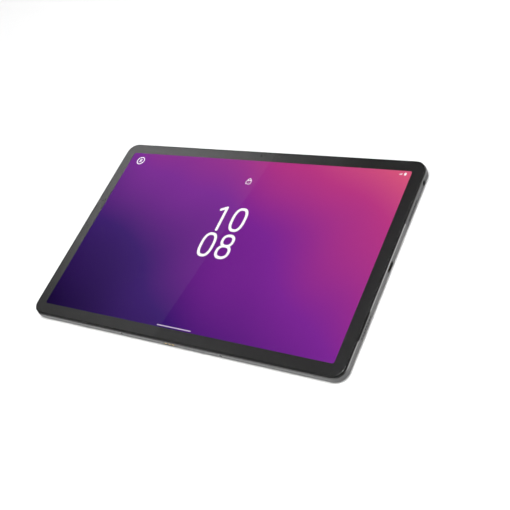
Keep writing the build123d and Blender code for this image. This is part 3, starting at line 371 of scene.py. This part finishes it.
def camera_barrel():
    """Matt black, with the faint rings of the rear camera's lens elements."""
    surface = Surface("camera_black")
    tone = surface.ramp(surface.spread(surface.radius_from(lens_at), 0.0, 4 * MM), [
        (0.0, grey(0.4)), (0.1, grey(0.1)), (0.14, grey(0.006)), (0.3, grey(0.006)),
        (0.34, grey(0.3)), (0.38, grey(0.006)), (0.62, grey(0.006)), (0.66, grey(0.25)), (0.7, grey(0.007)),
    ])
    surface.set(Base_Color=surface.mix(surface.noise(0.2 * MM), tone, surface.mix(0.8, grey(0.0), tone)))
    surface.set(Roughness=surface.spread(surface.noise(0.2 * MM), 0.3, 0.7, 0.37, 0.47))
    return surface.bump(surface.noise(0.2 * MM), 0.008 * MM, 0.4)


def border_ink():
    """The black print around the screen: satin, and matt along the glass's edge."""
    surface = Surface("border_ink")
    x, y, _ = surface.axes()
    past_x = surface.math("SUBTRACT", surface.math("ABSOLUTE", x), half_length - corner_radius)
    past_y = surface.math("SUBTRACT", surface.math("ABSOLUTE", y), half_width - corner_radius)
    past_x = surface.math("MAXIMUM", past_x, 0.0)
    past_y = surface.math("MAXIMUM", past_y, 0.0)
    square = surface.math("MULTIPLY_ADD", past_x, past_x, surface.math("MULTIPLY", past_y, past_y))
    reach = surface.math("SQRT", square)
    margin = corner_radius - matt_margin
    matt = surface.spread(reach, margin - 0.1 * MM, margin + 0.1 * MM)
    surface.set(Base_Color=varied(surface, grey(0.002, 0.01), 0.12, 60 * MM))
    surface.set(Specular_IOR_Level=surface.spread(matt, 0.0, 1.0, 0.4, 0.02))
    satin_rough = surface.spread(surface.noise(0.4 * MM), 0.3, 0.7, 0.28, 0.34)
    surface.set(Roughness=surface.math("MULTIPLY_ADD", matt, 0.4, satin_rough))
    return surface.bump(surface.noise(0.3 * MM), 0.002 * MM, 0.2)


def lit_screen():
    """The lit display: a plain gradient from corner to corner, loosened by soft clouds."""
    surface = Surface("display_lit")
    x, y, _ = surface.axes()
    # 0 at the lower left corner of the tablet and 1 at the upper right.
    along = surface.math("MULTIPLY_ADD", x, 0.25 / half_length, 0.5)
    corner_to_corner = surface.math("MULTIPLY_ADD", y, 0.25 / half_width, along)
    clouds = surface.spread(surface.noise(120 * MM, 1.0), 0.3, 0.7, -0.06, 0.06)
    colours = surface.ramp(surface.math("ADD", corner_to_corner, clouds), [
        (0.0, srgb("140a30")), (0.3, srgb("3c1870")), (0.55, srgb("80289a")),
        (0.8, srgb("c03a88")), (1.0, srgb("e86080")),
    ])
    surface.set(Base_Color=varied(surface, grey(0.0004), 0.1, 20 * MM), Roughness=0.5, Specular_IOR_Level=0.0)
    return surface.set(Emission_Color=colours, Emission_Strength=screen_light)


def wrapped_foil():
    """A battery pouch: dark foil with shallow creases."""
    surface = Surface("cell_foil")
    creases = surface.noise(9 * MM, 4.0, (1, 0.4, 1), 0.6)
    surface.set(Base_Color=varied(surface, grey(0.08), 0.2, 15 * MM), Metallic=0.4)
    surface.set(Roughness=surface.spread(creases, 0.3, 0.7, 0.3, 0.5))
    return surface.bump(creases, 0.15 * MM, 0.4)


def circuit_board():
    """Green solder mask over fine tracks and pads."""
    surface = Surface("board_mask")
    tracks = surface.spread(surface.cells(1.6 * MM, "DISTANCE_TO_EDGE"), 0.06, 0.1)
    pads = surface.spread(surface.cells(0.9 * MM), 0.14, 0.1)
    mask = surface.mix(tracks, srgb("1f6b55"), srgb("0c3d33"))
    surface.set(Base_Color=surface.mix(pads, mask, srgb("c9a24a")), Metallic=pads)
    surface.set(Roughness=surface.spread(surface.noise(0.5 * MM), 0.3, 0.7, 0.32, 0.42))
    return surface.bump(tracks, 0.02 * MM, 0.4)


def woven_mesh():
    """Fine dark steel cloth."""
    surface = Surface("mesh_steel")
    _, y, z = surface.axes()
    wires = 2 * math.pi / (0.22 * MM)
    weave = surface.math(
        "MULTIPLY",
        surface.math("SINE", surface.math("MULTIPLY", y, wires)),
        surface.math("SINE", surface.math("MULTIPLY", z, wires)),
    )
    surface.set(Metallic=0.8, Roughness=0.45)
    surface.set(Base_Color=surface.mix(surface.spread(weave, -0.6, 0.6), grey(0.004), grey(0.06)))
    return surface.bump(weave, 0.04 * MM, 0.5)


def port_plastic():
    """Black moulded plastic, with the gold contact strips where they stand proud of the tongue."""
    surface = Surface("port_black")
    x, y, z = surface.axes()
    tongue_low, tongue_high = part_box("usb_port_tongue")
    lift = surface.math("ABSOLUTE", surface.math("SUBTRACT", z, (tongue_low.z + tongue_high.z) / 2))
    proud = surface.math(
        "MULTIPLY",
        surface.spread(lift, 0.36 * MM, 0.37 * MM),
        surface.spread(lift, 0.42 * MM, 0.41 * MM),
    )
    at_port = surface.math(
        "MULTIPLY",
        surface.spread(surface.math("ABSOLUTE", y), 3.4 * MM, 3.3 * MM),
        surface.spread(x, tongue_low.x + 1.52 * MM, tongue_low.x + 1.56 * MM),
    )
    gold = surface.math("MULTIPLY", proud, at_port)
    surface.set(Base_Color=surface.mix(gold, varied(surface, grey(0.018), 0.1, 2 * MM), srgb("d9b45c")))
    surface.set(Metallic=gold)
    surface.set(Roughness=surface.spread(surface.noise(0.2 * MM), 0.3, 0.7, 0.28, 0.38))
    return surface.bump(surface.noise(0.2 * MM), 0.004 * MM, 0.3)


def sensor_glaze():
    """The glossy coated face of the fingerprint sensor."""
    surface = Surface("sensor_black")
    surface.set(Base_Color=varied(surface, grey(0.03), 0.15, 1.5 * MM), Coat_Weight=1.0, Coat_Roughness=0.03)
    return surface.set(Roughness=surface.spread(surface.noise(0.1 * MM), 0.3, 0.7, 0.2, 0.3))


def finishes():
    """One material for each slot of the record."""
    amber = srgb("b8702a")
    return {
        "housing_metal": housing_metal(),
        "antenna_cover_paint": antenna_cover_paint(),
        "badge_metal": metal("badge_metal", grey(0.42), 0.24, 0.1 * MM, stretch=(1, 8, 1)),
        "camera_plate_grey": camera_plate_grey(),
        "ring_metal": turned("ring_metal", grey(0.82), lens_at),
        "lens_glass_dark": dark_lens_glass(),
        "flash_diffuser": flash_plastic(),
        "flash_ring_metal": turned("flash_ring_metal", grey(0.55), flash_at, 0.15 * MM, 0.25),
        "cover_glass_clear": clear_glass(),
        "border_ink": border_ink(),
        "display_lit": lit_screen(),
        "reflector_white": moulded("reflector_white", grey(0.8), 0.4),
        "light_guide_clear": moulded("light_guide_clear", srgb("e6eef2"), 0.15, Transmission_Weight=0.9),
        "led_white": moulded("led_white", srgb("e8dc9a"), 0.4, 0.4 * MM),
        "frame_black": moulded("frame_black", grey(0.004), 0.7, Specular_IOR_Level=0.12),
        "adhesive_black": moulded("adhesive_black", grey(0.02), 0.75, 0.5 * MM, 0.03 * MM),
        "plate_metal": metal("plate_metal", grey(0.5), 0.36, 0.2 * MM, stretch=(1, 12, 1)),
        "screw_steel": metal("screw_steel", grey(0.16), 0.3),
        "board_mask": circuit_board(),
        "chip_black": moulded("chip_black", grey(0.02), 0.5, 0.15 * MM),
        "can_steel": metal("can_steel", grey(0.6), 0.28, 0.2 * MM, stretch=(1, 10, 1)),
        "connector_brown": moulded("connector_brown", srgb("4a3a30"), 0.35),
        "cell_foil": wrapped_foil(),
        "flex_amber": moulded("flex_amber", amber, 0.25, 0.6 * MM, 0.02 * MM, Coat_Weight=0.5),
        "camera_black": camera_barrel(),
        "speaker_black": moulded("speaker_black", grey(0.02), 0.55, 0.3 * MM, 0.02 * MM),
        "mesh_steel": woven_mesh(),
        "usb_steel": metal("usb_steel", grey(0.45), 0.22, 0.1 * MM, stretch=(0.2, 1, 1)),
        "port_black": port_plastic(),
        "key_metal": metal("key_metal", grey(0.28), 0.34),
        "sensor_black": sensor_glaze(),
        "switch_parts": metal("switch_parts", grey(0.55), 0.25),
        "contact_gold": metal("contact_gold", srgb("d9b45c"), 0.2),
        "magnet_nickel": metal("magnet_nickel", grey(0.6), 0.18),
        "antenna_plastic": moulded("antenna_plastic", grey(0.05), 0.5),
    }


finish_of = finishes()
for part in frame["record"]["subparts"]:
    shown = frame["nodes"][part["node"]]
    shown.data.materials.clear()
    shown.data.materials.append(finish_of[part["material_slot"]].material)

# Lamps reach what lies under the glass.
frame["nodes"]["cover_glass"].visible_shadow = False
frame["nodes"]["lens_glass"].visible_shadow = False


# ---------------------------------------------------------------- mesh helpers
def piece(name, maker, surface, body=BODY):
    """A new mesh piece, filled by maker, that rides on a body."""
    mesh = bpy.data.meshes.new(name)
    shape = bmesh.new()
    maker(shape)
    bmesh.ops.remove_doubles(shape, verts=shape.verts, dist=0.0005 * MM)
    bmesh.ops.recalc_face_normals(shape, faces=shape.faces)
    shape.to_mesh(mesh)
    shape.free()
    made = bpy.data.objects.new(name, mesh)
    scene.collection.objects.link(made)
    made.data.materials.append(surface.material)
    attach(made, body)
    return made


def stroke(shape, line, width, low, high, closed=False, steps_at_end=8):
    """A flat band along a line of (x, y) points, from height low to high, with round ends."""
    count = len(line)
    pairs = []
    for i, point in enumerate(line):
        ahead = line[(i + 1) % count] if closed or i < count - 1 else point
        behind = line[i - 1] if closed or i > 0 else point
        along = Vector((ahead[0] - behind[0], ahead[1] - behind[1])).normalized()
        across = Vector((-along.y, along.x)) * width / 2
        pairs.append((Vector(point) + across, Vector(point) - across))
    outline_sets = []
    spans = range(count) if closed else range(count - 1)
    for i in spans:
        a, b = pairs[i], pairs[(i + 1) % count]
        outline_sets.append([a[0], b[0], b[1], a[1]])
    if not closed:
        for end, inner in ((0, 1), (-1, -2)):
            tip = Vector(line[end])
            away = (tip - Vector(line[inner])).normalized()
            side = Vector((-away.y, away.x))
            fan = [
                tip + (side * math.cos(t) + away * math.sin(t)) * width / 2
                for t in [math.pi * k / steps_at_end for k in range(steps_at_end + 1)]
            ]
            outline_sets.append(fan)
    for outline in outline_sets:
        bottom = [shape.verts.new((p.x, p.y, low)) for p in outline]
        top = [shape.verts.new((p.x, p.y, high)) for p in outline]
        shape.faces.new(top)
        shape.faces.new(bottom[::-1])
        for k in range(len(outline)):
            n = (k + 1) % len(outline)
            shape.faces.new((bottom[k], bottom[n], top[n], top[k]))


def loop(cx, cy, half_x, half_y, power=2.4, steps=48):
    """Points of a rounded loop: a circle at power 2, squarer above it."""
    points = []
    for k in range(steps):
        t = 2 * math.pi * k / steps
        c, s = math.cos(t), math.sin(t)
        points.append((
            cx + half_x * math.copysign(abs(c) ** (2 / power), c),
            cy + half_y * math.copysign(abs(s) ** (2 / power), s),
        ))
    return points


# ---------------------------------------------------------------- what the screen shows
mark_low = panel_high.z + 0.01 * MM
mark_high = panel_high.z + 0.03 * MM


def glowing(name, colour, strength=1.1):
    """A lit mark on the screen."""
    surface = Surface(name)
    surface.set(Base_Color=grey(0.01), Roughness=0.4, Emission_Strength=strength)
    return surface.set(Emission_Color=varied(surface, colour, 0.02, 3 * MM))


white_mark = glowing("screen_white", (1.0, 0.97, 1.0, 1.0))
fine_mark = glowing("screen_fine_white", (1.0, 0.97, 1.0, 1.0), 1.7)
soft_mark = glowing("screen_lilac", srgb("c9b8d2"))
digit_width = 2.3 * MM


def clock(shape):
    """The hours over the minutes: 10 and 08."""
    upper = 20.0 * MM
    lower = -4.0 * MM
    half_x = 5.2 * MM
    half_y = 9.6 * MM
    left = -8.0 * MM
    right = 8.0 * MM

    def zero(cx, cy):
        stroke(shape, loop(cx, cy, half_x, half_y, 2.6), digit_width, mark_low, mark_high, True)

    stem = left + 1.4 * MM
    top = upper + half_y
    foot = upper - half_y - 0.9 * MM
    stroke(shape, [(stem, foot), (stem, top)], digit_width, mark_low, mark_high)
    stroke(shape, [(stem, top), (stem - 4.6 * MM, top - 2.2 * MM)], digit_width, mark_low, mark_high)
    zero(right, upper)
    zero(left, lower)
    waist = lower + 0.5 * MM
    top_half = (lower + half_y - waist) / 2
    low_half = (waist - lower + half_y) / 2
    for cy, hx, hy in (
        (waist + top_half, half_x * 0.88, top_half),
        (waist - low_half, half_x, low_half),
    ):
        stroke(shape, loop(right, cy, hx, hy, 2.3), digit_width, mark_low, mark_high, True)


def padlock(shape):
    """A small closed padlock."""
    cx, cy = 0.2 * MM, 54.6 * MM
    line = 0.32 * MM
    body = loop(cx, cy, 2.1 * MM, 1.7 * MM, 6.0, 32)
    stroke(shape, body, line, mark_low, mark_high, True)
    hoop = [
        (cx + 1.25 * MM * math.cos(t), cy + 1.9 * MM + 1.6 * MM * math.sin(t))
        for t in [math.pi * k / 12 for k in range(13)]
    ]
    stroke(shape, hoop, line, mark_low, mark_high)
    stroke(shape, [(cx, cy + 0.15 * MM), (cx, cy - 0.15 * MM)], line, mark_low, mark_high)


def user_mark(shape):
    """A round portrait frame with a plain head and shoulders."""
    cx, cy = -114.3 * MM, 67.4 * MM
    frame_radius, head_radius = 3.5 * MM, 0.85 * MM
    frame_ring = loop(cx, cy, frame_radius, frame_radius, 2.0, 40)
    head = loop(cx, cy + 0.8 * MM, head_radius, head_radius, 2.0, 24)
    stroke(shape, frame_ring, 0.55 * MM, mark_low, mark_high, True)
    stroke(shape, head, 0.45 * MM, mark_low, mark_high, True)
    shoulders = [
        (cx + 1.5 * MM * math.cos(t), cy - 2.1 * MM + 1.2 * MM * math.sin(t))
        for t in [math.pi * (0.1 + 0.8 * k / 8) for k in range(9)]
    ]
    stroke(shape, shoulders, 0.45 * MM, mark_low, mark_high)


def status_marks(shape):
    """Signal and battery marks in the upper right corner."""
    x, y = 116.8 * MM, 72.4 * MM
    foot = y - 0.6 * MM
    for k, rise in enumerate((0.3 * MM, 0.7 * MM, 1.1 * MM)):
        bar = x + k * 0.8 * MM
        stroke(shape, [(bar, foot), (bar, foot + rise)], 0.45 * MM, mark_low, mark_high)
    bx = x + 4.2 * MM
    stroke(shape, loop(bx, y, 0.55 * MM, 0.95 * MM, 6.0, 24), 0.5 * MM, mark_low, mark_high, True)
    stroke(shape, [(bx, y - 0.3 * MM), (bx, y + 0.3 * MM)], 0.6 * MM, mark_low, mark_high)


def home_bar(shape):
    """The bar at the middle of the screen's lower edge."""
    y = -73.7 * MM
    stroke(shape, [(-14.6 * MM, y), (14.3 * MM, y)], 0.75 * MM, mark_low, mark_high)


piece("clock_digits", clock, white_mark)
piece("padlock_mark", padlock, fine_mark)
piece("user_mark", user_mark, fine_mark)
piece("status_marks", status_marks, white_mark)
piece("home_bar", home_bar, soft_mark)


# ---------------------------------------------------------------- stage
def floor():
    """A plain pale floor with the faintest mottling."""
    surface = Surface("floor_paper")
    surface.set(Base_Color=varied(surface, grey(0.86), 0.008, 0.4), Roughness=0.9)
    surface.set(Specular_IOR_Level=0.1, Emission_Color=grey(1.0))
    # Far from the tablet, where the lamps no longer reach, the floor glows.
    glow_start, glow_full, glow = 0.9, 2.6, 0.95
    radius = surface.radius_from((0, 0))
    surface.set(Emission_Strength=surface.spread(radius, glow_start, glow_full, 0.0, glow))
    mesh = bpy.data.meshes.new("floor")
    reach = 9.0
    corners = [(-reach, -reach, 0), (reach, -reach, 0), (reach, reach, 0), (-reach, reach, 0)]
    mesh.from_pydata(corners, [], [(0, 1, 2, 3)])
    made = bpy.data.objects.new("floor", mesh)
    scene.collection.objects.link(made)
    made.data.materials.append(surface.material)


floor()


def softbox(name, at, aim, size, power, turn=0.0):
    """A rectangular soft light, not seen directly by the camera."""
    light = bpy.data.lights.new(name, "AREA")
    light.shape = "RECTANGLE"
    light.size, light.size_y = size
    light.energy = power
    lamp = bpy.data.objects.new(name, light)
    scene.collection.objects.link(lamp)
    pose = (Vector(aim) - Vector(at)).to_track_quat("-Z", "Y").to_matrix().to_4x4()
    pose.translation = Vector(at)
    lamp.matrix_world = pose @ Matrix.Rotation(turn, 4, "Z")
    lamp.visible_camera = False
    return lamp


softbox("key_light", (0.35, -0.25, 1.8), (0, 0, 0), (1.4, 1.4), 54)
# A low lamp for the sheen of the border print alone.
low_light = softbox("low_light", (-1.52, 1.06, 0.90), (0, 0, 0), (0.6, 0.2), 24)
lit_by_it = bpy.data.collections.new("lit_by_low_light")
lit_by_it.objects.link(frame["nodes"]["border_print"])
low_light.light_linking.receiver_collection = lit_by_it


def mirrored(x, y, height):
    """The point at a height that the camera sees mirrored at (x, y) mm on the glass."""
    point = Vector((x * MM, y * MM, glass_top))
    away = point - camera_at
    away.z = -away.z
    return point + away * height / away.z


def reflected_card():
    """A dim card that lies mirrored in the left and middle of the screen, as a faint haze."""
    height = 0.86
    on_screen = [(-135, -85), (-13, -85), (12, 85), (-135, 85)]
    mesh = bpy.data.meshes.new("reflected_card")
    mesh.from_pydata([mirrored(x, y, height) for x, y in on_screen], [], [(0, 1, 2, 3)])
    card = bpy.data.objects.new("reflected_card", mesh)
    scene.collection.objects.link(card)
    # The haze fades out over the lower left corner of the screen.
    edge_start, edge_end = mirrored(-135, 5, height), mirrored(-58, -85, height)
    across = (edge_end - edge_start).cross(Vector((0, 0, -1))).normalized()
    paper = Surface("reflected_card")
    x, y, _ = paper.axes()
    place = paper.math("MULTIPLY_ADD", x, across.x, paper.math("MULTIPLY", y, across.y))
    line = edge_start.dot(across)
    light = paper.spread(place, line - 0.11, line + 0.13, 0.0, card_light)
    paper.set(Base_Color=grey(0.0), Specular_IOR_Level=0.0)
    paper.set(Emission_Color=grey(1.0), Emission_Strength=light)
    card.data.materials.append(paper.material)
    card.visible_camera = False
    card.visible_diffuse = False
    card.visible_shadow = False


reflected_card()


def backdrop():
    """A pale wall around the stage, seen only by the camera."""
    radius, height, steps = 8.8, 9.0, 64
    mesh = bpy.data.meshes.new("backdrop")
    wall = bmesh.new()
    around = [2 * math.pi * k / steps for k in range(steps)]
    foot = [wall.verts.new((radius * math.cos(t), radius * math.sin(t), 0)) for t in around]
    head = [wall.verts.new((radius * math.cos(t), radius * math.sin(t), height)) for t in around]
    for k in range(steps):
        n = (k + 1) % steps
        wall.faces.new((foot[k], foot[n], head[n], head[k]))
    wall.to_mesh(mesh)
    wall.free()
    made = bpy.data.objects.new("backdrop", mesh)
    scene.collection.objects.link(made)
    paper = Surface("backdrop_paper")
    paper.set(Base_Color=grey(0.0), Specular_IOR_Level=0.0)
    paper.set(Emission_Color=varied(paper, grey(1.0), 0.01, 2.0), Emission_Strength=1.0)
    made.data.materials.append(paper.material)
    made.visible_diffuse = False
    made.visible_glossy = False
    made.visible_transmission = False
    made.visible_shadow = False


backdrop()


def studio():
    """A pale surround, dark overhead where the glass mirrors it, and dimmer on the left."""
    world = bpy.data.worlds.new("studio")
    scene.world = world
    world.use_nodes = True
    sky = world.node_tree
    background = sky.nodes["Background"].inputs
    place = sky.nodes.new("ShaderNodeTexCoord").outputs["Generated"]
    axes = sky.nodes.new("ShaderNodeSeparateXYZ")
    sky.links.new(place, axes.inputs[0])
    by_height = sky.nodes.new("ShaderNodeValToRGB")
    elements = by_height.color_ramp.elements
    steps = [(0.0, 1.0), (0.28, 0.9), (0.44, 0.5), (0.54, 0.006), (0.84, 0.006), (1.0, 0.3)]
    while len(elements) < len(steps):
        elements.new(0.5)
    for element, (position, value) in zip(elements, steps):
        element.position = position
        element.color = grey(value)
    sky.links.new(axes.outputs[2], by_height.inputs[0])
    sky.links.new(by_height.outputs[0], background["Color"])
    by_side = sky.nodes.new("ShaderNodeMapRange")
    left, right, dim, full = -0.6, 0.6, 0.15, 1.0
    for socket, value in zip(list(by_side.inputs)[1:], (left, right, dim, full)):
        socket.default_value = value
    sky.links.new(axes.outputs[0], by_side.inputs[0])
    sky.links.new(by_side.outputs[0], background["Strength"])


studio()

scene.view_settings.view_transform = "Standard"
